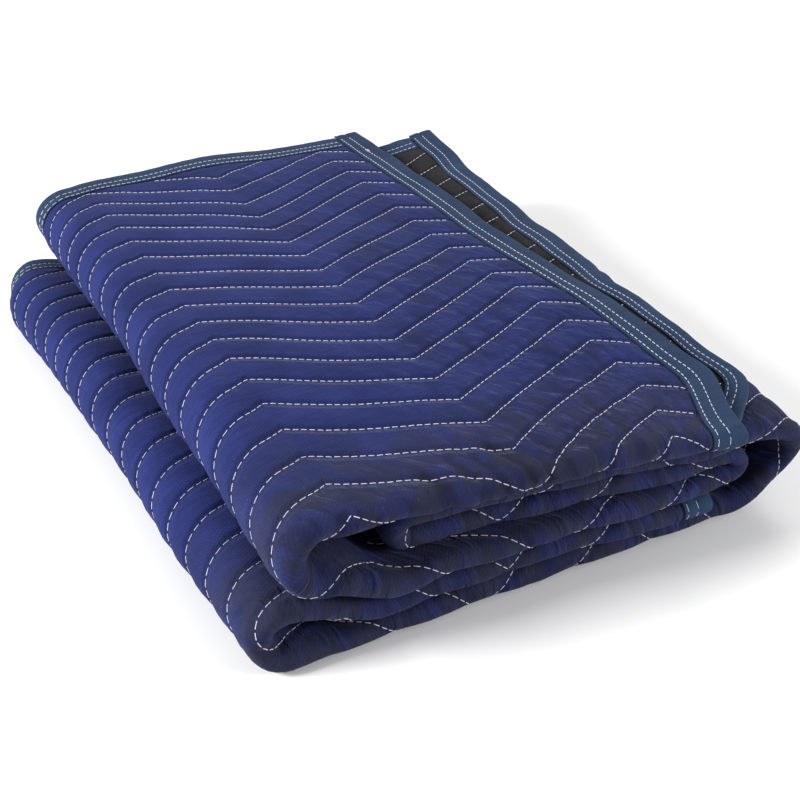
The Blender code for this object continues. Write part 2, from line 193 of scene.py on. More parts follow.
# Main creases, pulled in over the front edge and beside the bound end
# Each: from (cloth, across) to (cloth, across), half width, depth
CREASES = (
    ((0.206, 0.036), (0.196, 0.002), 0.0048, 0.0024),
    ((0.190, 0.042), (0.174, -0.003), 0.0042, 0.0019),
    ((0.178, 0.040), (0.163, -0.004), 0.0042, 0.0023),
    ((0.163, 0.042), (0.149, 0.000), 0.0048, 0.0024),
    ((0.150, 0.034), (0.138, -0.004), 0.0044, 0.0020),
    ((0.136, 0.030), (0.126, -0.004), 0.0048, 0.0016),
    ((0.120, 0.034), (0.108, 0.000), 0.0050, 0.0008),
    ((0.106, 0.046), (0.092, 0.006), 0.0050, 0.0008),
    ((0.090, 0.052), (0.076, 0.010), 0.0055, 0.0009),
    ((0.074, 0.076), (0.062, 0.036), 0.0050, 0.0008),
    ((0.128, 0.070), (0.116, 0.044), 0.0055, 0.0006),
    ((0.150, 0.082), (0.140, 0.058), 0.0060, 0.0005),
    ((0.098, 0.104), (0.090, 0.078), 0.0055, 0.0006),
    ((0.080, 0.130), (0.074, 0.104), 0.0050, 0.0006),
    ((0.118, 0.140), (0.108, 0.112), 0.0055, 0.0005),
    ((0.070, 0.182), (0.066, 0.156), 0.0050, 0.0006),
    ((0.104, 0.206), (0.098, 0.180), 0.0055, 0.0005),
    ((0.076, 0.262), (0.070, 0.236), 0.0050, 0.0006),
    ((0.112, 0.300), (0.106, 0.272), 0.0055, 0.0004),
    ((0.066, 0.344), (0.062, 0.318), 0.0050, 0.0005),
)
CREASE_RIDGE = 0.45
CREASE_KEPT = 0.6
# Crease depth at which the creases' painted shade is full
CREASE_SHADE_FULL = 0.0017
# How far the painted shade of the front faces reaches from the fold
FOLD_SHADE_REACH = 0.100

# Places where the blue side faces out, and the thread on it: how far past the marks of the path
BLUE_SHOWS = {"c": 0.02, "outer loop": 0.05, "e": 0.01, "lower roll": 0.01, "d": 0.05}
THREAD_SHOWS = {"c": 0.03, "outer loop": 0.09, "e": 0.03, "lower roll": 0.02, "d": 0.06}
THREAD_BY_FOLD = 0.036
THREAD_STOPS = 0.002
DARK_THREAD = (0.024, 0.095)
DARK_LINES = (-19, 0)

# Weave and wear
YARN_WANDERS = 0.0012
FUZZ_HEIGHT = 0.7
YARN_RANGE = (0.05, 0.45)
BETWEEN_YARN = 0.45
DYE_STREAKS = (420.0, 40.0, 1.0)
STREAKS_SHARE = 0.45
WORN_RANGE = (0.36, 0.66)
LINT_RANGE = (0.70, 0.80)

# Relief by the stitch lines: depth, reach, and the puckers' closeness over the width and down the length
PULL_DEPTH = 0.0015
PULL_REACH = 0.0055
PUCKERS = (55.0, 190.0, 1.0)
PUCKER_REACH = 0.0100
PUCKER_HEIGHT = 0.9

# Fine wrinkles: size and slant, then where the quilt is gathered and how much
WRINKLE_DEPTH = 0.0008
WRINKLES_TURN = 23.0
WRINKLES_BEND = (45.0, 0.011)
WRINKLES = (40.0, 105.0, 1.0)
FOLDS_HEIGHT = 3.0
SLACK = (16.0, 50.0, 1.0)
SLACK_HEIGHT = 4.0
# Noise range that gets painted shade, in the wrinkle valleys
VALLEY_RANGE = (0.34, 0.54)
RIDGE_RANGE = (-0.10, 0.25)
BY_END = (0.10, 0.24)
BY_FRONT = (0.02, 0.09)
BY_BACK = (0.10, 0.42)
FRONT_GATHERED = 1.35
BACK_GATHERED = 0.45
LEAST_GATHERED = 0.22

# Thread
STITCH = 0.0033
STITCH_PITCH = 0.0046
TAPE_STITCH = 0.0028
TAPE_STITCH_PITCH = 0.0042
THREAD_RADIUS = 0.00026
THREAD_OVER = 0.00012
STITCH_TAPERS = 0.45
STITCH_BODY = 0.72
OUTWARDS = 0.001
BAR_CLOTH = (0.001, 0.012)
BAR_ACROSS = (0.4655, 0.4700)
BAR_PITCH = 0.0009
NEAR_ROW = 0.0025
FAR_ROW = 0.0100

# Colours
BLUE = (0.0145, 0.0205, 0.094, 1.0)
BLUE_WORN = (0.0240, 0.0335, 0.150, 1.0)
DARK = (0.016, 0.0155, 0.016, 1.0)
DARK_WORN = (0.036, 0.034, 0.033, 1.0)
NAVY = (0.0175, 0.0340, 0.0730, 1.0)
NAVY_WORN = (0.0290, 0.0560, 0.1120, 1.0)
# Painted greyish shade on the front faces beside the fold, and its share
FOLD_SHADE = (0.0215, 0.0225, 0.0380, 1.0)
FOLD_SHADE_SHARE = 0.75
# Painted dark shade in the creases, and its share
CREASE_SHADE = (0.0080, 0.0090, 0.0200, 1.0)
CREASE_SHADE_SHARE = 0.85
DEEP = 0.45
# Share of painted shade in the grooves beside the stitch lines
GROOVE_SHADE = 0.5
# Share of painted shade in the wrinkle valleys
VALLEY_SHADE = 0.60
FADING_DARKENS = 0.30
FADED_RANGE = (0.44, 0.66)
PATCH_RANGE = (0.36, 0.60)
PATCHES = 0.65
BETWEEN_PATCHES = 0.45
SHEEN_TINT = (0.55, 0.58, 0.85, 1.0)
LINT = (0.30, 0.30, 0.42, 1.0)
LINT_SHARE = 0.07
THREAD = (0.62, 0.62, 0.74, 1.0)
THREAD_WORN = (0.42, 0.42, 0.55, 1.0)
THREAD_RELIEF = 0.0002
FLOOR = (0.90, 0.90, 0.90, 1.0)

# Light: name, place, size and power of each lamp
ROOM_LIGHT = 0.40
LAMPS = (
    ("key", (-1.95, 0.05, 1.10), 0.6, 64),
    ("back", (1.2, 1.2, 2.0), 1.6, 22),
    ("front", (1.3, -1.6, 0.9), 0.7, 26),
    ("right", (2.2, -0.5, 0.4), 1.0, 16),
    ("left", (-1.9, 0.5, 0.35), 0.8, 12),
)

# Camera, at the photograph's place
CAMERA_PLACE = (-0.36127, -0.67041, 0.43252)
CAMERA_TURN = (59.811, -2.721, -28.786)
CAMERA_LENS = 55.05
SENSOR = 36.0


# Folded form

def smooth(value):
    """0 below 0 and 1 above 1, easing between them."""
    value = np.clip(value, 0.0, 1.0)
    return value * value * (3 - 2 * value)


def level_height(number):
    """Middle of a level, counted from 1 at the top."""
    return HEIGHT - FACE_OFFSET - (number - 1) * LEVEL


def run(x_from, x_to, z_from, z_to=None, ease=(0.0, 1.0)):
    """A level's middle line, which may ease to another height between two x."""
    share = np.linspace(0, 1, PATH_STEPS, endpoint=False)
    x = x_from + (x_to - x_from) * share
    rise = 0.0 if z_to is None else z_to - z_from
    z = z_from + rise * smooth((x - ease[0]) / (ease[1] - ease[0]))
    return np.stack([x, z], axis=1)


def turn(x, z_from, z_to, fullness, side, rise=0.0):
    """Half an ellipse from one level to another, on the +X or -X side; its tip may sit higher."""
    angle = np.linspace(0, math.pi, PATH_STEPS, endpoint=False)
    radius = (z_from - z_to) / 2
    bulge = side * fullness * abs(radius)
    z = (z_from + z_to) / 2 + radius * np.cos(angle) + rise * np.sin(angle) ** 2
    return np.stack([x + bulge * np.sin(angle), z], axis=1)


def folded_path(end):
    """The middle line of the pile, seen from the front, at its front (0) or back (1)."""
    top, b1, b2, c, d, e = [level_height(number) for number in range(1, 7)]
    c_left = c + ROLL_RISE
    d_left = d + ROLL_RISE
    free, upper, lower = FREE_END[end], UPPER_ROLL[end], LOWER_ROLL[end]
    inner_left, inner_right, loop = INNER_LEFT[end], INNER_RIGHT[end], OUTER_LOOP[end]
    return np.concatenate([
        run(free + SPARE, free, top),
        run(free, upper, top),
        turn(upper, top, c_left, ROLL_FULLNESS, -1),
        run(upper, inner_right, c_left, c, (upper + EASE["c"][0], upper + EASE["c"][1])),
        turn(inner_right, c, b2, TURN_FULLNESS, 1),
        run(inner_right, inner_left, b2),
        turn(inner_left, b2, b1, TURN_FULLNESS, -1),
        run(inner_left, loop, b1),
        turn(loop, b1, e, LOOP_FULLNESS, 1, LOOP_RISE),
        run(loop, lower, e),
        turn(lower, e, d_left, ROLL_FULLNESS, -1),
        run(lower, free + SPARE, d_left, d, (lower + EASE["d"][0], lower + EASE["d"][1])),
    ])


def normals_of(points):
    """The way across the path, to its right hand side."""
    slope = np.gradient(points, axis=0)
    slope /= np.linalg.norm(slope, axis=1)[:, None]
    return np.stack([slope[:, 1], -slope[:, 0]], axis=1)


PATHS = [folded_path(0), folded_path(1)]
NORMALS = [normals_of(points) for points in PATHS]
STEPS = np.linalg.norm(np.diff((PATHS[0] + PATHS[1]) / 2, axis=0), axis=1)
DOWN = np.concatenate([[0], np.cumsum(STEPS)]) - STEPS[:PATH_STEPS].sum()
MARKS = {name: DOWN[index * PATH_STEPS] for index, name in enumerate(list(SETBACK)[:-1])}
MARKS["end"] = LENGTH


def on_path(columns, down):
    """Values of the path's steps, at places down it."""
    return np.stack([np.interp(down, DOWN, column) for column in columns.T], axis=-1)


def fold_line(down):
    """Where the width is folded, which wanders from one end of the blanket to the other."""
    return np.interp(down, FOLD_PLACES, FOLD_SHIFTS)


def slide(down, across):
    """How far the lower half has slid towards the top end."""
    from_fold = fold_line(down) - across
    back = np.clip(from_fold / HALF_WIDTH, -1.1, 1.1)
    reach = SLIDE_FRONT + SLIDE_BACK * back + SLIDE_CORNER * back ** 6
    return reach * smooth(from_fold / SLIDE_START) * (1 - smooth(down / SLIDE_LENGTH))


def tucked(down, from_fold):
    """How far the back of the longer half is pushed in, where it lies inside a roll."""
    longer = np.maximum(-np.sign(from_fold) * fold_line(down), 0)
    in_lower, in_upper = [smooth((down - start) / over) for start, over in (TUCK_IN_LOWER, TUCK_IN_UPPER)]
    inside = np.where(from_fold > 0, in_lower, in_upper)
    return 2 * longer * inside * smooth((np.abs(from_fold) - TUCK_FROM) / TUCK_OVER)


def puffed(down, from_fold):
    """How far the inner half of a roll bulges into it near the fold, which closes the roll's front."""
    upper = np.interp(down - MARKS["upper roll"], list(UPPER_PUFFS), list(UPPER_PUFFS.values()))
    lower = np.interp(down - MARKS["lower roll"], list(LOWER_PUFFS), list(LOWER_PUFFS.values()))
    size = np.abs(from_fold)
    stretch = smooth(size / PUFF_GROWS) * (1 - smooth((size - PUFF_KEEPS) / PUFF_FADES))
    return np.where(from_fold < 0, -upper, lower) * stretch


def path_down(cloth, across):
    """The place on the path of a distance measured on the cloth."""
    cloth, across = np.broadcast_arrays(np.asarray(cloth, float), np.asarray(across, float))
    down = cloth.copy()
    for _ in range(16):
        down = cloth - slide(down, across)
    return down


def zigzag(cloth):
    """Sideways place of a stitch line."""
    turns = (np.asarray(cloth, float) - ZIGZAG_START) / ZIGZAG_HALF
    return ZIGZAG_SWING * (2 * np.abs((turns % 2) - 1) - 1)


def grown(region, x, y, z):
    """0 outside a region of the pile, easing to 1 inside it."""
    share = 1.0
    for axis, (start, end) in REGIONS[region].items():
        share = share * smooth(({"x": x, "y": y, "z": z}[axis] - start) / (end - start))
    return share


def settle(x, y, z):
    """Unevenness of the pile: corners sink or rise, the rolls draw in, the top end bends at the front."""
    shares = {region: grown(region, x, y, z) for region in REGIONS}
    swell = SWELL * np.sin(SWELL_TURNS[0] * x + 0.8) * np.sin(SWELL_TURNS[1] * y + 0.5)
    sinks = FRONT_RIGHT_SINKS * shares["front right"] + BACK_LEFT_SINKS * shares["back left"] + swell
    rises = BACK_RIGHT_RISES * shares["back right"]
    drawn_in = LOWER_ROLL_DRAWS_IN * shares["lower roll"] + ROLLS_DRAW_IN * shares["rolls"]
    wave = WAVE * np.sin(WAVE_TURNS * y + 1.0) * shares["off the floor"]
    curls = LOWER_ROLL_CURLS * shares["lower roll's end"]
    swells = TOP_END_SWELLS * shares["behind the front"] * (1 - shares["middle of the depth"])
    top_end = shares["top end"] * (1 - OUTER_SHARE * shares["past the top end"])
    bends = (swells - TOP_CORNER_PULLED * shares["top corner"]) * top_end
    sinks = sinks + LOWER_ROLL_SINKS * shares["lower roll's end"]
    return x + wave + curls + bends, y - drawn_in, z * (1 - sinks + rises)


def rumpled(x, y, z):
    """Small folds and hollows, finer than the solid has: wavy front edges, uneven levels."""
    front = 1 - smooth((y - FRONT_Y) / RUMPLED_DEPTH)
    off_floor = smooth(z / 0.02)
    edge = np.sin(34 * x + 55 * z + 0.5) + 0.6 * np.sin(73 * x - 90 * z + 2.0)
    y = y + FRONT_RUMPLE * front * off_floor * edge
    x = x + SIDE_RUMPLE * np.sin(37 * y + 3.0) * np.sin(60 * z + 1.0) * off_floor
    end = smooth((x - END_FROM) / END_OVER) * off_floor
    x = x + END_RUMPLE * end * (np.sin(61 * y + 0.7) + 0.6 * np.sin(113 * y + 40 * z))
    uneven = np.sin(31 * x + 1.3) * np.sin(27 * y + 0.4) + 0.5 * np.sin(63 * x - 20 * y)
    return x, y, z + LEVEL_RUMPLE * uneven * off_floor


def place(down, across, lift):
    """Folded places of flat points."""
    values = np.broadcast_arrays(*[np.asarray(value, float) for value in (down, across, lift)])
    down, across, lift = [value.ravel() for value in values]
    from_fold = across - fold_line(down)
    angle = np.clip(from_fold / HALF_OFFSET, -math.pi / 2, math.pi / 2)
    offset = (HALF_OFFSET + lift) * np.sin(angle) + puffed(down, from_fold)
    setback = np.interp(down, list(MARKS.values()), list(SETBACK.values()))
    nose = math.pi / 2 * HALF_OFFSET
    depth = np.maximum(np.abs(from_fold) - nose, 0) - (HALF_OFFSET + lift) * np.cos(angle)
    y = FRONT_Y + FACE_OFFSET + setback + depth - tucked(down, from_fold)
    back = np.clip((y - FRONT_Y) / HALF_WIDTH, 0, 1)[:, None]
    line = on_path(PATHS[0], down) * (1 - back) + on_path(PATHS[1], down) * back
    normal = on_path(NORMALS[0], down) * (1 - back) + on_path(NORMALS[1], down) * back
    normal /= np.linalg.norm(normal, axis=1)[:, None]
    x, z = (line + normal * offset[:, None]).T
    x, y, z = rumpled(*settle(x, y, z))
    return np.stack([x - CENTRE_X, y - CENTRE_Y, z], axis=1)


# Cloth surface

def edge_distance(cloth, across):
    """Distance to the nearest edge of the flat cloth."""
    return np.minimum(np.minimum(cloth, LENGTH - cloth), HALF_WIDTH - np.abs(across))


def half_thickness(cloth, across):
    """Half the cloth's thickness, which is pressed thin under the binding."""
    full = smooth((edge_distance(cloth, across) - BOUND_EDGE) / (QUILT_EDGE - BOUND_EDGE))
    return BOUND_CLOTH / 2 + (CLOTH - BOUND_CLOTH) / 2 * full


def shows(down, across, past):
    """Where the blue side faces out: on the top and the upper roll, the loop, and the lower roll."""
    side = across - fold_line(down)
    upper = (side > 0) & (down < MARKS["c"] + past["c"])
    loop = (down > MARKS["outer loop"] - past["outer loop"]) & (down < MARKS["e"] + past["e"])
    roll = (down > MARKS["lower roll"] - past["lower roll"]) & (down < MARKS["d"] + past["d"])
    return upper | ((side < 0) & (loop | roll))


def creased(cloth, across):
    """Depth of the listed creases: soft troughs, each between two low ridges."""
    depth = np.zeros(np.shape(cloth))
    for start, end, half, deep in CREASES:
        way = np.array(end) - start
        along = ((cloth - start[0]) * way[0] + (across - start[1]) * way[1]) / (way @ way)
        nearest = np.clip(along, 0, 1)
        off = np.hypot(cloth - start[0] - nearest * way[0], across - start[1] - nearest * way[1]) / half
        trough = np.exp(-off ** 2) - CREASE_RIDGE * np.exp(-(off - 1.7) ** 2)
        depth += deep * trough * smooth(2.5 * (1 - np.abs(2 * nearest - 1)) + 0.3)
    return depth


def blue_lift(cloth, down, across):
    """Height of the blue side: pillows between pressed stitch lines, with uneven filling."""
    line = (across - zigzag(cloth)) / LINE_SPACING
    from_line = LINE_SPACING * np.abs((line + 0.5) % 1 - 0.5)
    inside = smooth((edge_distance(cloth, across) - BOUND_EDGE) / BOUND_EDGE_FADES)
    groove = GROOVE * (1 - smooth(from_line / GROOVE_REACH) ** 0.7)
    number = np.round(line)
    filling = np.sin(210 * cloth + 1.7 * number) * np.sin(118 * cloth - 2.3 * number)
    filling = FILLING * filling * smooth(from_line / GROOVE_REACH)
    proud = np.where(shows(down, across, BLUE_SHOWS), PROUD, 0.0)
    relief = proud + filling - groove - CREASE_KEPT * creased(cloth, across)
    return half_thickness(cloth, across) + inside * relief


def flat_across(row, cloth):
    """A row's place over the width: it follows the fold near there, the stitch lines further out."""
    size = np.abs(row)
    off_fold = smooth((size - FOLLOWS_FOLD) / (FOLLOWS_LINES - FOLLOWS_FOLD))
    off_edge = 1 - smooth((size - LEAVES_LINES) / (HALF_WIDTH - QUILT_EDGE - LEAVES_LINES))
    return row + (1 - off_fold) * fold_line(cloth) + off_fold * off_edge * zigzag(cloth)


def flat_rows():
    """Rows over the width, from the lower half's side edge to the upper half's."""
    half = [NOSE_STEP * step for step in range(1, int(round(NOSE_REACH / NOSE_STEP)) + 1)]
    half += list(np.arange(NOSE_REACH + TURNING_STEP, FOLLOWS_LINES, TURNING_STEP))
    for number in range(6, int(LEAVES_LINES / LINE_SPACING) + 4):
        half += [number * LINE_SPACING + offset for offset in LINE_ROWS]
    half = [row for row in half if row < EDGE_ROWS[0] - 0.002] + list(EDGE_ROWS)
    return np.array([-row for row in reversed(half)] + [0.0] + half)


def flat_columns():
    """Columns down the length, closer on the turns."""
    columns = list(TOP_END_COLUMNS) + list(np.arange(ZIGZAG_START, MARKS["upper roll"], TOP_STEP))
    names = list(MARKS)
    for name, after in zip(names[2:-1], names[3:]):
        length = MARKS[after] - MARKS[name]
        count = max(2, math.ceil(length / COLUMN_STEPS[name]))
        columns += list(np.linspace(MARKS[name], MARKS[after], count, endpoint=False))
    columns = [cloth for cloth in columns if cloth < LENGTH - QUILT_EDGE - 0.002]
    return np.array(columns + [LENGTH - inset for inset in BOTTOM_END_INSETS])


# Making pieces

def new_piece(name, points, faces, skins, flat=None, skin_of=None):
    """A finished mesh piece, smooth, with the flat cloth's metres as its UV map."""
    mesh = bpy.data.meshes.new(name)
    mesh.from_pydata([tuple(point) for point in points], [], faces)
    for skin in skins:
        mesh.materials.append(skin)
    if skin_of is not None:
        mesh.polygons.foreach_set("material_index", skin_of)
    if flat is not None:
        corners = np.empty(len(mesh.loops), dtype=np.int32)
        mesh.loops.foreach_get("vertex_index", corners)
        layer = mesh.uv_layers.new(name="flat")
        layer.data.foreach_set("uv", np.asarray(flat, dtype=np.float32)[corners].ravel())
    mesh.shade_smooth()
    mesh.update()
    made = bpy.data.objects.new(name, mesh)
    bpy.context.scene.collection.objects.link(made)
    return made


def grid_faces(columns, rows, start=0):
    """Quads over a grid of columns, each with the same rows."""
    first = start + np.arange(columns - 1)[:, None] * rows + np.arange(rows - 1)[None, :]
    return np.stack([first, first + 1, first + rows + 1, first + rows], axis=-1).reshape(-1, 4)


def blue_grid():
    """The blue side's mesh: cloth, across, down and folded place of each of its points."""
    cloth, row = np.meshgrid(flat_columns(), flat_rows(), indexing="ij")
    across = flat_across(row, cloth)
    down = path_down(cloth, across)
    points = place(down, across, blue_lift(cloth, down, across))
    return cloth, across, down, points.reshape(*cloth.shape, 3)


def quilt(grid):
    """The cloth: a fine blue side, a plainer dark side, and the rim between them."""
    cloth, across, down, upper = grid
    tall, wide = cloth.shape
    kept = sorted(set(range(0, wide, DARK_EVERY)) | {wide - 1, wide // 2})
    few, start = len(kept), tall * wide
    lower = place(down[:, kept], across[:, kept], -half_thickness(cloth[:, kept], across[:, kept]))
    flat = [np.stack([across[:, rows].ravel(), cloth[:, rows].ravel()], axis=1)
            for rows in (slice(None), kept)]

    faces = [tuple(face) for face in grid_faces(tall, wide).tolist()]
    skins = [0] * len(faces)
    faces += [tuple(face) for face in grid_faces(tall, few, start)[:, ::-1].tolist()]
    for column in range(tall - 1):
        for row_b, row_d, flip in ((0, 0, False), (wide - 1, few - 1, True)):
            b, d = column * wide + row_b, start + column * few + row_d
            rim = (b, b + wide, d + few, d)
            faces.append(rim[::-1] if flip else rim)
    for column, flip in ((0, True), (tall - 1, False)):
        for k, (here, there) in enumerate(zip(kept, kept[1:])):
            run_b = [column * wide + row_b for row_b in range(here, there + 1)]
            rim = run_b + [start + column * few + k + 1, start + column * few + k]
            faces.append(tuple(rim[::-1] if flip else rim))
    skins += [1] * (len(faces) - len(skins))
    points = np.concatenate([upper.reshape(-1, 3), lower])
    made = new_piece("quilt", points, faces, [blue_skin, dark_skin], np.concatenate(flat), skins)
    # Masks of painted shade: dark in the creases, greyish on the front faces beside the fold
    marks = {
        "painted_crease_shade": np.clip(creased(cloth, across) / CREASE_SHADE_FULL, 0, 1),
        "painted_fold_shade": 1 - smooth(np.abs(across - fold_line(down)) / FOLD_SHADE_REACH),
    }
    for label, share in marks.items():
        share = np.concatenate([share.ravel(), np.zeros(len(lower))])
        made.data.attributes.new(label, "FLOAT", "POINT").data.foreach_set("value", share)
    outwards(made)
    return made


def outwards(piece):
    """Turns all faces of a closed piece outwards."""
    shell = bmesh.new()
    shell.from_mesh(piece.data)
    bmesh.ops.recalc_face_normals(shell, faces=shell.faces)
    shell.to_mesh(piece.data)
    shell.free()


# Binding

def tape_section():
    """Distance past the cloth's edge and lift, round a tape folded over that edge."""
    face = BOUND_CLOTH / 2 + TAPE_GAP + TAPE
    near, far = TAPE_INNER + NEAR_ROW, TAPE_INNER + FAR_ROW
    # The face is drawn in along both rows of stitches
    top = [
        (TAPE_INNER, face - 0.0002), (TAPE_INNER + 0.0009, face + 0.0001), (near, face - 0.0003),
        (near + 0.0018, face + 0.0002), (far - 0.0018, face + 0.0002), (far, face - 0.0003),
        (far + 0.0018, face + 0.0002), (-0.0050, face + 0.0004),
    ]
    bend = face + 0.0003
    middle = TAPE_REACH - bend
    arc = [(middle + bend * math.sin(angle), bend * math.cos(angle))
           for angle in np.linspace(0, math.pi, 9)]
    bottom = [(past, -lift) for past, lift in reversed(top)]
    inside = BOUND_CLOTH / 2 + TAPE_GAP
    slot = [(TAPE_INNER, -inside), (EDGE_GAP, -inside), (EDGE_GAP, inside), (TAPE_INNER, inside)]
    return np.array(top + arc + bottom + slot)


def sweep_tape(name, rings, along):
    """A tape made of closed rings of folded points."""
    count, size = len(rings), len(rings[0])
    faces = []
    for k in range(count - 1):
        for j in range(size):
            after = (j + 1) % size
            faces.append((k * size + j, k * size + after, (k + 1) * size + after, (k + 1) * size + j))
    faces.append(tuple(reversed(range(size))))
    faces.append(tuple((count - 1) * size + j for j in range(size)))
    section = tape_section()
    round_it = np.concatenate([[0], np.cumsum(np.linalg.norm(np.diff(section, axis=0), axis=1))])
    flat = np.stack([np.repeat(along, size), np.tile(round_it, count)], axis=1)
    made = new_piece(name, np.concatenate(rings), faces, [tape_skin], flat)
    outwards(made)
    made.data.set_sharp_from_angle(angle=math.radians(60))
    return made


def puckered(section, place_along):
    """The section with its outer face a little uneven along the tape."""
    past, lift = section.T
    uneven = 1 + 0.05 * math.sin(310 * place_along) * math.sin(127 * place_along + 1)
    outer = np.abs(lift) > BOUND_CLOTH / 2 + TAPE_GAP + 1e-6
    return past, np.where(outer, lift * uneven, lift)


def side_tape(name, side):
    """Binding along one side edge, between the two end tapes."""
    section = tape_section()
    start, stop = TAPE_WIDTH, LENGTH - TAPE_WIDTH
    between = [cloth for cloth in flat_columns() if start + 0.0005 < cloth < stop - 0.0005]
    stations = [start, *between, stop]
    rings = []
    for cloth in stations:
        past, lift = puckered(section, cloth)
        across = side * (HALF_WIDTH + past)
        rings.append(place(path_down(cloth, across), across, lift))
    return sweep_tape(name, rings, stations)


def end_tape(name, top):
    """Binding across one end, over the side tapes' ends."""
    section = tape_section()
    reach = HALF_WIDTH + TAPE_REACH + TAB
    rows = flat_across(flat_rows()[1:-1], 0.0 if top else LENGTH)
    stations = [-reach] + [row for row in rows if abs(row) < reach - 0.002] + [reach]
    rings = []
    for row in stations:
        past, lift = puckered(section, row)
        down = path_down(-past, row) if top else LENGTH + past
        rings.append(place(down, row, lift))
    return sweep_tape(name, rings, stations)


# Thread

def one_stitch():
    """A stitch of unit length along X, as wide and high as the thread: points and faces."""
    bpy.ops.object.select_all(action="DESELECT")
    bpy.ops.mesh.primitive_cylinder_add(vertices=6, radius=1.0, depth=1.0)
    model = bpy.context.active_object
    bpy.ops.object.mode_set(mode="EDIT")
    bpy.ops.mesh.select_all(action="SELECT")
    bpy.ops.transform.rotate(value=math.pi / 2, orient_axis="Y", center_override=(0, 0, 0))
    bpy.ops.object.mode_set(mode="OBJECT")
    shape = bmesh.new()
    shape.from_mesh(model.data)
    ends = [face for face in shape.faces if len(face.verts) == 6]
    bmesh.ops.inset_individual(shape, faces=ends, thickness=STITCH_TAPERS, depth=0.0)
    for vertex in shape.verts:
        if math.hypot(vertex.co.y, vertex.co.z) > 0.9:
            vertex.co.x *= STITCH_BODY
    points = np.array([tuple(vertex.co) for vertex in shape.verts])
    faces = [[vertex.index for vertex in face.verts] for face in shape.faces]
    shape.free()
    bpy.data.objects.remove(model, do_unlink=True)
    return points, faces


def sewn(name, starts, ends, ups):
    """One stitch copied between each start and end, as a single piece."""
    shape, shape_faces = one_stitch()
    ways = ends - starts
    lengths = np.linalg.norm(ways, axis=1)[:, None]
    ways = ways / lengths
    ups = ups - ways * np.sum(ups * ways, axis=1)[:, None]
    ups /= np.linalg.norm(ups, axis=1)[:, None]
    sides = np.cross(ups, ways)
    middles = (starts + ends) / 2
    points = middles[:, None] + ways[:, None] * shape[None, :, :1] * lengths[:, None]
    round_it = sides[:, None] * shape[None, :, 1:2] + ups[:, None] * shape[None, :, 2:]
    points = points + round_it * THREAD_RADIUS
    count = len(shape)
    faces = [tuple(k * count + corner for corner in face)
             for k in range(len(starts)) for face in shape_faces]
    return new_piece(name, points.reshape(-1, 3), faces, [thread_skin])


def on_line(number, cloth):
    """Flat places on a stitch line, counted from the middle of the width."""
    return np.stack([cloth, number * LINE_SPACING + zigzag(cloth)], axis=1)


def line_stitches():
    """Flat ends of the stitches on the zigzag lines, wherever their blue side shows."""
    starts, ends = [], []
    reach = int((HALF_WIDTH + ZIGZAG_SWING) / LINE_SPACING)
    for number in range(-reach, reach + 1):
        first = (number * 0.37) % 1 * STITCH_PITCH
        begin = np.arange(first, LENGTH * LINE_SLANT, STITCH_PITCH) / LINE_SLANT
        finish = begin + STITCH / LINE_SLANT
        middle = (begin + finish) / 2
        across = number * LINE_SPACING + zigzag(middle)
        down = path_down(middle, across)
        shown = shows(down, across, THREAD_SHOWS)
        shown |= np.abs(across - fold_line(down)) < THREAD_BY_FOLD
        shown &= edge_distance(middle, across) > BOUND_EDGE + THREAD_STOPS
        for cloth, kept in ((begin, starts), (finish, ends)):
            kept.append(on_line(number, cloth)[shown])
    return np.concatenate(starts), np.concatenate(ends)


def dark_stitches():
    """The same lines on the dark side, where it shows beside the top end."""
    starts, ends = [], []
    for number in range(*DARK_LINES):
        begin = np.arange(*DARK_THREAD, STITCH_PITCH / LINE_SLANT)
        finish = begin + STITCH / LINE_SLANT
        across = number * LINE_SPACING + zigzag(begin)
        shown = (edge_distance(begin, across) > BOUND_EDGE + 0.001) & (across < fold_line(begin) - 0.03)
        for cloth, kept in ((begin, starts), (finish, ends)):
            kept.append(on_line(number, cloth)[shown])
    return np.concatenate(starts), np.concatenate(ends)


def on_blue(flat, grid, above):
    """Places on the blue side's mesh, raised over it, and the way out of the cloth there."""
    columns, widths, points = grid[0][:, 0], grid[1], grid[3]
    cloth, across = flat.T
    column = np.clip(np.searchsorted(columns, cloth) - 1, 0, len(columns) - 2)
    share = ((cloth - columns[column]) / (columns[column + 1] - columns[column]))[:, None]
    lines = widths[column] * (1 - share) + widths[column + 1] * share
    row = np.clip((lines < across[:, None]).sum(axis=1) - 1, 0, lines.shape[1] - 2)
    order = np.arange(len(row))
    over = ((across - lines[order, row]) / (lines[order, row + 1] - lines[order, row]))[:, None]
    near = points[column, row] * (1 - over) + points[column, row + 1] * over
    far = points[column + 1, row] * (1 - over) + points[column + 1, row + 1] * over
    sideways = points[column, row + 1] - points[column, row]
    out = np.cross(sideways, far - near)
    out /= np.linalg.norm(out, axis=1)[:, None]
    return near * (1 - share) + far * share + above * out, out


def on_dark(flat, above):
    """Folded places on the dark side."""
    cloth, across = flat.T
    return place(path_down(cloth, across), across, -half_thickness(cloth, across) - above)


def on_tape(flat, side, above):
    """Folded places on the binding's face."""
    cloth, across = flat.T
    face = BOUND_CLOTH / 2 + TAPE_GAP + TAPE - 0.0002
    return place(path_down(cloth, across), across, side * (face + above))


def tape_row(cloth, across, way, side):
    """Flat starts and ends of stitches that all run one way, and the side that they show on."""
    starts = np.stack(np.broadcast_arrays(cloth, across), axis=1)
    return starts, starts + np.array(way), side


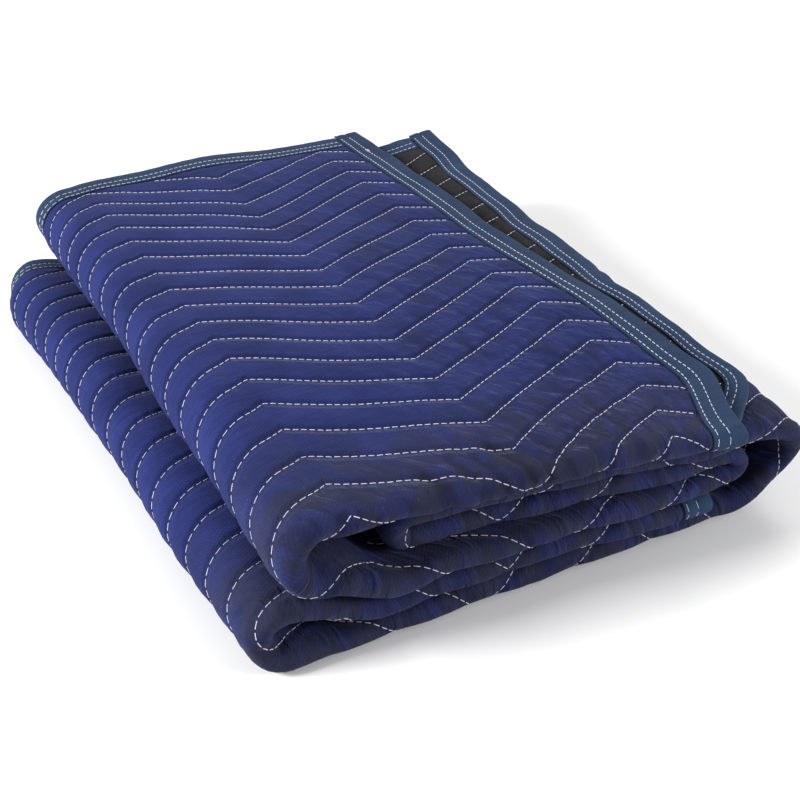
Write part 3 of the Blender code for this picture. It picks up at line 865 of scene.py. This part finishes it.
def tape_row_stitches():
    """The dense bar near the back corner, then the two rows of stitches in each tape."""
    bar = np.arange(*BAR_CLOTH, BAR_PITCH)
    found = [tape_row(bar, BAR_ACROSS[0], (0.0, BAR_ACROSS[1] - BAR_ACROSS[0]), 1)]
    widths = np.arange(-HALF_WIDTH + 0.004, HALF_WIDTH - 0.006, TAPE_STITCH_PITCH)
    # End of the length, where over the width the row shows, and side of the cloth
    end_rows = ((0.0, widths > -0.05, 1), (0.0, widths < -0.006, -1),
                (LENGTH, np.abs(widths - fold_line(LENGTH)) < 0.10, 1))
    # Half of the width, side of the cloth, and where the row starts and stops down the length
    side_rows = (
        (1, 1, TAPE_WIDTH + 0.002, MARKS["c"] + 0.03),
        (-1, -1, TAPE_WIDTH + 0.002, 0.12),
        (-1, 1, MARKS["outer loop"] - 0.03, MARKS["e"] + 0.03),
        (-1, 1, MARKS["lower roll"] - 0.02, MARKS["d"] + 0.05),
    )
    for row in (NEAR_ROW, FAR_ROW):
        inset = TAPE_WIDTH - TAPE_REACH - row
        for end, shown, side in end_rows:
            found.append(tape_row(abs(end - inset), widths[shown], (0.0, TAPE_STITCH), side))
        for half, side, start, stop in side_rows:
            spots = np.arange(start, stop, TAPE_STITCH_PITCH)
            found.append(tape_row(spots, half * (HALF_WIDTH - inset), (TAPE_STITCH, 0.0), side))
    return found


def thread_pieces(grid):
    """The quilting thread and the binding's thread."""
    starts, ends = line_stitches()
    dark_starts, dark_ends = dark_stitches()
    blue_from, blue_out = on_blue(starts, grid, THREAD_OVER)
    blue_to, _ = on_blue(ends, grid, THREAD_OVER)
    dark_from = on_dark(dark_starts, THREAD_OVER)
    dark_out = on_dark(dark_starts, OUTWARDS + THREAD_OVER) - dark_from
    quilting = sewn("quilting_thread", np.concatenate([blue_from, dark_from]),
                    np.concatenate([blue_to, on_dark(dark_ends, THREAD_OVER)]),
                    np.concatenate([blue_out, dark_out]))
    begins, finishes, ups = [], [], []
    for starts, ends, side in tape_row_stitches():
        begins.append(on_tape(starts, side, THREAD_OVER))
        finishes.append(on_tape(ends, side, THREAD_OVER))
        ups.append(on_tape(starts, side, THREAD_OVER + OUTWARDS) - begins[-1])
    binding = sewn("binding_thread", np.concatenate(begins), np.concatenate(finishes), np.concatenate(ups))
    return quilting, binding


# Materials

def feed(tree, node, values):
    """Gives some inputs of a node a fixed value, or another node's output."""
    for label, value in values.items():
        if isinstance(value, bpy.types.NodeSocket):
            tree.links.new(value, node.inputs[label])
        else:
            node.inputs[label].default_value = value


def add_node(tree, kind, values, **settings):
    """A new node's outputs, once its settings and inputs are given."""
    node = tree.nodes.new("ShaderNode" + kind)
    for label, setting in settings.items():
        setattr(node, label, setting)
    feed(tree, node, values)
    return node.outputs


def new_group(name, inputs, outputs):
    """A node group, what its input node gives, and its output node. Outputs are numbers."""
    group = bpy.data.node_groups.new(name, "ShaderNodeTree")
    sockets = [(label, "INPUT", kind) for label, kind in inputs.items()]
    sockets += [(label, "OUTPUT", "Float") for label in outputs]
    for label, way, kind in sockets:
        group.interface.new_socket(name=label, in_out=way, socket_type="NodeSocket" + kind)
    return group, group.nodes.new("NodeGroupInput").outputs, group.nodes.new("NodeGroupOutput")


def math_node(tree, operation, *values):
    """One step of arithmetic on numbers or other nodes' outputs."""
    return add_node(tree, "Math", dict(enumerate(values)), operation=operation)[0]


def noise_node(tree, where, scale, detail):
    """Noise, as a share."""
    return add_node(tree, "TexNoise", {"Vector": where, "Scale": scale, "Detail": detail})["Fac"]


def eased(tree, value, start, end, low=0.0, high=1.0, kind="SMOOTHSTEP"):
    """Low at start, easing to high at end."""
    ends = {"Value": value, "From Min": start, "From Max": end, "To Min": low, "To Max": high}
    return add_node(tree, "MapRange", ends, interpolation_type=kind)["Result"]


def blend_colours(tree, share, first, second):
    """The first colour, and as much of the second as the share says."""
    return add_node(tree, "Mix", {"Factor": share, 6: first, 7: second}, data_type="RGBA")[2]


def stretched(tree, where, scale):
    """Coordinates scaled apart on each axis."""
    return add_node(tree, "Mapping", {"Vector": where, "Scale": scale})["Vector"]


def turned(tree, where, degrees, scale):
    """Coordinates turned, then scaled apart on each axis."""
    values = {"Vector": where, "Rotation": (0.0, 0.0, math.radians(degrees)),
              "Scale": [1 / value for value in scale]}
    return add_node(tree, "Mapping", values, vector_type="TEXTURE")["Vector"]


def bent_flat(tree, where, scale, reach):
    """Flat coordinates pushed about by broad noise, so that straight streaks bend."""
    noise = add_node(tree, "TexNoise", {"Vector": where, "Scale": scale, "Detail": 1.0})["Color"]
    push = {0: noise, 1: (reach, reach, 0.0), 2: where}
    return add_node(tree, "VectorMath", push, operation="MULTIPLY_ADD")["Vector"]


def weave_group():
    """Plain weave: crossing threads of a given pitch, over and under, with uneven yarn."""
    group, given, result = new_group("plain_weave", {"Flat": "Vector", "Pitch": "Float"}, ("Height", "Yarn"))
    axes = add_node(group, "SeparateXYZ", {0: given["Flat"]})
    uneven = noise_node(group, given["Flat"], 90.0, 2.0)
    turns = math_node(group, "DIVIDE", math.pi, given["Pitch"])
    waves = []
    for axis in (0, 1):
        bent = math_node(group, "MULTIPLY_ADD", uneven, YARN_WANDERS, axes[axis])
        waves.append(math_node(group, "SINE", math_node(group, "MULTIPLY", bent, turns)))
    height = math_node(group, "MULTIPLY_ADD", math_node(group, "MULTIPLY", *waves), 0.5, 0.5)
    fuzz = noise_node(group, given["Flat"], 1400.0, 2.0)
    feed(group, result, {"Height": math_node(group, "MULTIPLY_ADD", fuzz, FUZZ_HEIGHT, height),
                         "Yarn": math_node(group, "MULTIPLY", height, fuzz)})
    return group


def wear_group():
    """Uneven dye, lint and rubbing, as a share of the worn colour."""
    group, given, result = new_group("dye_and_wear", {"Flat": "Vector", "Place": "Vector"}, ("Worn", "Lint"))
    broad = noise_node(group, given["Place"], 22.0, 4.0)
    streaks = noise_node(group, stretched(group, given["Flat"], DYE_STREAKS), 1.0, 3.0)
    mixed = math_node(group, "ADD", math_node(group, "MULTIPLY", broad, 1 - STREAKS_SHARE),
                      math_node(group, "MULTIPLY", streaks, STREAKS_SHARE))
    specks = noise_node(group, given["Flat"], 700.0, 1.0)
    feed(group, result, {"Worn": eased(group, mixed, *WORN_RANGE, kind="LINEAR"),
                         "Lint": eased(group, specks, *LINT_RANGE, kind="LINEAR")})
    return group


def stitch_pull_group():
    """Crease and puckers beside the zigzag stitch lines, and a mask of painted shade in the grooves along
    them.
    """
    group, given, result = new_group("stitch_pull", {"Flat": "Vector"}, ("Height", "Seam"))
    across, cloth, _ = add_node(group, "SeparateXYZ", {0: given["Flat"]})
    turns = math_node(group, "DIVIDE", math_node(group, "SUBTRACT", cloth, ZIGZAG_START), ZIGZAG_HALF)
    swing = math_node(group, "MULTIPLY_ADD", math_node(group, "PINGPONG", turns, 1.0),
                      -2 * ZIGZAG_SWING, ZIGZAG_SWING)
    line = math_node(group, "DIVIDE", math_node(group, "SUBTRACT", across, swing), LINE_SPACING)
    from_line = math_node(group, "MULTIPLY", math_node(group, "PINGPONG", line, 0.5), LINE_SPACING)
    crease = eased(group, from_line, 0.0, PULL_REACH)
    puckers = noise_node(group, stretched(group, given["Flat"], PUCKERS), 1.0, 2.0)
    pulled = math_node(group, "MULTIPLY", puckers, eased(group, from_line, 0.0, PUCKER_REACH, 1.0, 0.15))
    feed(group, result, {"Height": math_node(group, "MULTIPLY_ADD", pulled, PUCKER_HEIGHT, crease),
                         "Seam": math_node(group, "SUBTRACT", 1.0, crease)})
    return group


def wrinkle_group():
    """Short creases over the width, where the quilt is gathered: by the bound end and the front; also a mask
    of painted shade in their valleys.
    """
    group, given, result = new_group("gathered_wrinkles", {"Flat": "Vector"}, ("Height", "ValleyShade"))
    across, cloth, _ = add_node(group, "SeparateXYZ", {0: given["Flat"]})
    width = math_node(group, "ABSOLUTE", across)
    by_end = eased(group, cloth, *BY_END, 1.0, 0.0)
    by_front = eased(group, width, *BY_FRONT, FRONT_GATHERED, 0.0)
    gathered = math_node(group, "MAXIMUM", math_node(group, "MAXIMUM", by_end, by_front), LEAST_GATHERED)
    calmer = eased(group, width, *BY_BACK, 1.0, BACK_GATHERED)
    gathered = math_node(group, "MULTIPLY", gathered, calmer)
    bent = bent_flat(group, given["Flat"], *WRINKLES_BEND)
    folds = noise_node(group, turned(group, bent, WRINKLES_TURN, WRINKLES), 1.0, 2.0)
    slack = noise_node(group, turned(group, bent, WRINKLES_TURN, SLACK), 1.0, 1.0)
    ridged = math_node(group, "ABSOLUTE", math_node(group, "SUBTRACT", folds, 0.5))
    ridged = eased(group, ridged, *RIDGE_RANGE)
    mixed = math_node(group, "MULTIPLY_ADD", folds, FOLDS_HEIGHT, ridged)
    mixed = math_node(group, "MULTIPLY_ADD", slack, SLACK_HEIGHT, mixed)
    # Painted shade in the wrinkle valleys, where the quilt is gathered
    low = eased(group, folds, *VALLEY_RANGE, 1.0, 0.0)
    feed(group, result, {"Height": math_node(group, "MULTIPLY", mixed, gathered),
                         "ValleyShade": math_node(group, "MULTIPLY", low, gathered)})
    return group


def new_skin(name, colour):
    """A material, its node tree and its shader."""
    skin = bpy.data.materials.new(name)
    skin.use_nodes = True
    skin.diffuse_color = colour
    return skin, skin.node_tree, skin.node_tree.nodes["Principled BSDF"]


def quilted_looks(tree, flat, relief, base, deep):
    """Relief and colour with stitch pull, wrinkles and fading, and painted shade: in the grooves by the
    stitch lines, in wrinkle valleys, on the front faces by the fold and in the creases.
    """
    pull = add_node(tree, "Group", {"Flat": flat}, node_tree=groups["pull"])
    wrinkles = add_node(tree, "Group", {"Flat": flat}, node_tree=groups["wrinkles"])
    relief = math_node(tree, "MULTIPLY_ADD", pull["Height"], PULL_DEPTH, relief)
    relief = math_node(tree, "MULTIPLY_ADD", wrinkles["Height"], WRINKLE_DEPTH, relief)
    faded = eased(tree, noise_node(tree, flat, 24.0, 4.0), *FADED_RANGE)
    # Painted shade in the grooves by the stitch lines and in the wrinkle valleys, then darker patches of
    # fading at random
    for share, darkens in ((pull["Seam"], GROOVE_SHADE), (wrinkles["ValleyShade"], VALLEY_SHADE),
                           (faded, FADING_DARKENS)):
        base = blend_colours(tree, math_node(tree, "MULTIPLY", share, darkens), base, deep)
    # Noise that mottles the painted shade below
    patches = eased(tree, noise_node(tree, flat, 55.0, 3.0), *PATCH_RANGE)
    patchy = math_node(tree, "MULTIPLY_ADD", patches, PATCHES, BETWEEN_PATCHES)
    # Painted greyish shade on the front faces by the fold, and painted dark shade in the creases
    for label, share, shade in (("painted_fold_shade", FOLD_SHADE_SHARE, FOLD_SHADE), ("painted_crease_shade", CREASE_SHADE_SHARE, CREASE_SHADE)):
        mark = add_node(tree, "Attribute", {}, attribute_name=label)["Fac"]
        marked = math_node(tree, "MULTIPLY", math_node(tree, "MULTIPLY", mark, share), patchy)
        base = blend_colours(tree, marked, base, shade)
    return relief, base


def fabric(name, colour, worn, pitch, roughness, sheen, weave_depth, quilted):
    """Cloth: dye and wear in its colour, with painted shade on quilted cloth, weave and stitch pull in its
    relief.
    """
    skin, tree, shader = new_skin(name, colour)
    flat = add_node(tree, "UVMap", {}, uv_map="flat")["UV"]
    spot = add_node(tree, "TexCoord", {})["Object"]
    weave = add_node(tree, "Group", {"Flat": flat, "Pitch": pitch}, node_tree=groups["weave"])
    wear = add_node(tree, "Group", {"Flat": flat, "Place": spot}, node_tree=groups["wear"])
    relief = math_node(tree, "MULTIPLY", weave["Height"], weave_depth)
    base = blend_colours(tree, wear["Worn"], colour, worn)
    deep = tuple(DEEP * channel for channel in colour[:3]) + (1.0,)
    yarn = eased(tree, weave["Yarn"], *YARN_RANGE, kind="LINEAR")
    base = blend_colours(tree, yarn, blend_colours(tree, BETWEEN_YARN, base, deep), base)
    if quilted:
        relief, base = quilted_looks(tree, flat, relief, base, deep)
    lint = math_node(tree, "MULTIPLY", wear["Lint"], LINT_SHARE)
    feed(tree, shader, {
        "Sheen Weight": sheen, "Sheen Roughness": 0.45, "Sheen Tint": SHEEN_TINT,
        "Specular IOR Level": 0.05, "Base Color": blend_colours(tree, lint, base, LINT),
        "Roughness": math_node(tree, "MULTIPLY_ADD", weave["Yarn"], -0.15, roughness),
        "Normal": add_node(tree, "Bump", {"Height": relief, "Strength": 1.0, "Distance": 1.0})["Normal"],
    })
    return skin


def thread_material():
    """Twisted off-white thread, a little grey in places."""
    skin, tree, shader = new_skin("quilting_thread", THREAD)
    spot = add_node(tree, "TexCoord", {})["Object"]
    grey = noise_node(tree, spot, 60.0, 3.0)
    twist = noise_node(tree, spot, 2600.0, 1.0)
    feed(tree, shader, {
        "Sheen Weight": 0.2, "Base Color": blend_colours(tree, grey, THREAD, THREAD_WORN),
        "Roughness": math_node(tree, "MULTIPLY_ADD", twist, 0.2, 0.55),
        "Normal": add_node(tree, "Bump", {"Height": twist, "Distance": THREAD_RELIEF})["Normal"],
    })
    return skin


groups = {"weave": weave_group(), "wear": wear_group(), "pull": stitch_pull_group(),
          "wrinkles": wrinkle_group()}
blue_skin = fabric("quilted_blue", BLUE, BLUE_WORN, pitch=0.0012, roughness=0.92, sheen=0.07,
                   weave_depth=0.00016, quilted=True)
dark_skin = fabric("dark_backing", DARK, DARK_WORN, pitch=0.0009, roughness=0.95, sheen=0.03,
                   weave_depth=0.00016, quilted=True)
tape_skin = fabric("navy_tape", NAVY, NAVY_WORN, pitch=0.0007, roughness=0.85, sheen=0.06,
                   weave_depth=0.00010, quilted=False)
thread_skin = thread_material()

grid = blue_grid()
cloth_piece = quilt(grid)
tape_pieces = {
    "binding_side_upper": side_tape("tape_side_upper", 1),
    "binding_side_lower": side_tape("tape_side_lower", -1),
    "binding_end_top": end_tape("tape_end_top", True),
    "binding_end_bottom": end_tape("tape_end_bottom", False),
}
quilting_thread, binding_thread = thread_pieces(grid)

for node, piece in [("quilted_blanket", cloth_piece), *tape_pieces.items()]:
    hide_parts(node)
    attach(piece, "root")
for piece, slot in ((quilting_thread, "quilted_cotton"), (binding_thread, "binding_tape")):
    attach(piece, "root")


# Floor, light and camera

def add_floor():
    """A plain pale floor, just under the blanket."""
    bpy.ops.object.select_all(action="DESELECT")
    bpy.ops.mesh.primitive_plane_add(size=40.0, location=(0, 0, -0.0005))
    floor = bpy.context.active_object
    floor.name = "floor"
    skin, tree, shader = new_skin("pale_floor", FLOOR)
    feed(tree, shader, {"Base Color": FLOOR, "Roughness": 0.9})
    floor.data.materials.append(skin)


def add_light(name, place_at, size, power):
    """A large soft lamp that faces the blanket."""
    lamp = bpy.data.lights.new(name, "AREA")
    lamp.size = size
    lamp.energy = power
    made = bpy.data.objects.new(name, lamp)
    bpy.context.scene.collection.objects.link(made)
    made.location = place_at
    made.rotation_euler = (-made.location).to_track_quat("-Z", "Y").to_euler()


def add_camera():
    """The camera, as the photograph was taken."""
    camera = bpy.data.cameras.new("camera")
    camera.lens = CAMERA_LENS
    camera.sensor_width = SENSOR
    made = bpy.data.objects.new("camera", camera)
    bpy.context.scene.collection.objects.link(made)
    made.location = CAMERA_PLACE
    made.rotation_euler = [math.radians(angle) for angle in CAMERA_TURN]
    bpy.context.scene.camera = made


def light_room():
    """A white room with soft lamps."""
    world = bpy.data.worlds.new("soft_room")
    world.use_nodes = True
    sky = world.node_tree.nodes["Background"]
    feed(world.node_tree, sky, {"Color": (1.0, 1.0, 1.0, 1.0), "Strength": ROOM_LIGHT})
    bpy.context.scene.world = world
    bpy.context.scene.view_settings.view_transform = "Standard"
    for lamp in LAMPS:
        add_light(*lamp)


add_floor()
light_room()
add_camera()
